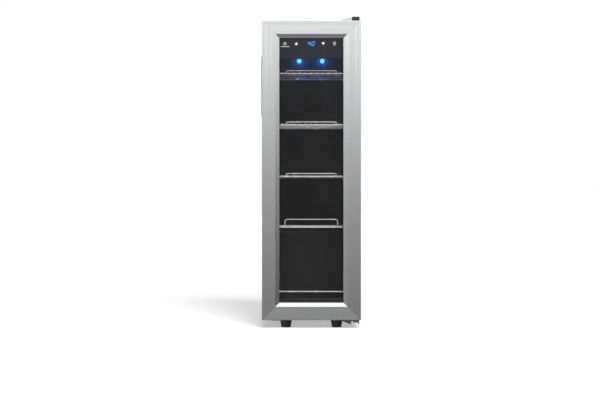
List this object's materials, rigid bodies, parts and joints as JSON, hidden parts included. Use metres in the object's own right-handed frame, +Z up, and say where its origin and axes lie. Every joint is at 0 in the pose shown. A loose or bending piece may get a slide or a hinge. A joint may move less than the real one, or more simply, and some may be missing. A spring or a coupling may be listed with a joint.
{
  "type": "mini fridge",
  "caption": "Slim free-standing drinks cooler: framed glass door on right-hand hinges, wire shelves, touch controls, feet and rear compressor bay.",
  "frame": {"origin": "on the floor, under the middle of the object's box", "axes": "+X to the right seen from the front, -Y to the front, +Z up"},
  "size_m": [0.2975, 0.51, 0.933],
  "materials": {
    "brushed_stainless": "satin",
    "glazing": "gloss",
    "profile_black": "satin",
    "control_band": "gloss",
    "circuit_board": "satin",
    "spacer_aluminium": "satin",
    "seal_rubber": "matte",
    "cabinet_black": "satin",
    "galvanised_steel": "satin",
    "hinge_zinc": "satin",
    "hinge_dark": "satin",
    "liner_charcoal": "satin",
    "foam": "matte",
    "fin_aluminium": "satin",
    "lamp_lens": "gloss",
    "shelf_chrome": "polished",
    "foot_black": "satin",
    "compressor_black": "gloss",
    "bay_plastic": "matte",
    "condenser_enamel": "satin",
    "copper_tube": "satin"
  },
  "bodies": {
    "cabinet": {"air_duct_cover": "liner_charcoal", "back_panel": "galvanised_steel", "base_plate": "galvanised_steel", "bay_partition": "galvanised_steel", "bottom_guard_rail": "shelf_chrome", "bottom_hinge_bracket": "hinge_dark", "capillary_tube": "copper_tube", "compressor": "compressor_black", "compressor_grommets": "seal_rubber", "condenser_brackets": "bay_plastic", "condenser_coil": "condenser_enamel", "condenser_wires": "condenser_enamel", "cord_gland": "bay_plastic", "discharge_line": "copper_tube", "drain_tube": "bay_plastic", "drip_tray": "bay_plastic", "evaporator": "fin_aluminium", "fan_frame": "liner_charcoal", "filter_dryer": "copper_tube", "foam_insulation": "foam", "hinge_pins": "galvanised_steel", "hinge_screws": "galvanised_steel", "inner_liner": "liner_charcoal", "light_board": "circuit_board", "light_lenses": "lamp_lens", "rear_feet": "foot_black", "relay_box": "bay_plastic", "side_panel_left": "cabinet_black", "side_panel_right": "cabinet_black", "suction_line": "copper_tube", "terminal_box": "bay_plastic", "top_hinge_bracket": "hinge_zinc", "top_hinge_cap": "profile_black", "top_panel": "cabinet_black"},
    "door": {"door_stile_left": "brushed_stainless", "door_stile_right": "brushed_stainless", "door_rail_top": "brushed_stainless", "door_rail_bottom": "brushed_stainless", "door_inner_frame": "profile_black", "door_gasket": "seal_rubber", "door_bushes": "profile_black", "outer_glass_pane": "glazing", "inner_glass_pane": "glazing", "glass_spacer": "spacer_aluminium", "handle_insert": "profile_black", "control_fascia": "control_band", "control_housing": "profile_black", "control_board": "circuit_board"},
    "shelf_1": {"shelf_1_grid": "shelf_chrome", "shelf_1_guard": "shelf_chrome"},
    "shelf_2": {"shelf_2_grid": "shelf_chrome", "shelf_2_guard": "shelf_chrome"},
    "shelf_3": {"shelf_3_grid": "shelf_chrome", "shelf_3_guard": "shelf_chrome"},
    "shelf_4": {"shelf_4_grid": "shelf_chrome", "shelf_4_guard": "shelf_chrome"},
    "fan": {"fan_rotor": "liner_charcoal"},
    "foot_left": {"levelling_foot_left": "foot_black"},
    "foot_right": {"levelling_foot_right": "foot_black"}
  },
  "joints": [
    {"name": "door_swing", "type": "hinge", "parent": "cabinet", "child": "door", "pos_m": [0.1325, -0.238, 0.473], "axis": [0, 0, 1], "range_deg": [0, 120]},
    {"name": "shelf_1_slide", "type": "slide", "parent": "cabinet", "child": "shelf_1", "axis": [0, -1, 0], "range_m": [0, 0.012]},
    {"name": "shelf_2_slide", "type": "slide", "parent": "cabinet", "child": "shelf_2", "axis": [0, -1, 0], "range_m": [0, 0.012]},
    {"name": "shelf_3_slide", "type": "slide", "parent": "cabinet", "child": "shelf_3", "axis": [0, -1, 0], "range_m": [0, 0.012]},
    {"name": "shelf_4_slide", "type": "slide", "parent": "cabinet", "child": "shelf_4", "axis": [0, -1, 0], "range_m": [0, 0.012]},
    {"name": "fan_spin", "type": "hinge", "parent": "cabinet", "child": "fan", "pos_m": [0, 0.155, 0.7], "axis": [0, 1, 0], "continuous": true},
    {"name": "foot_left_screw", "type": "slide", "parent": "cabinet", "child": "foot_left", "axis": [0, 0, -1], "range_m": [0, 0.01]},
    {"name": "foot_right_screw", "type": "slide", "parent": "cabinet", "child": "foot_right", "axis": [0, 0, -1], "range_m": [0, 0.01]}
  ]
}
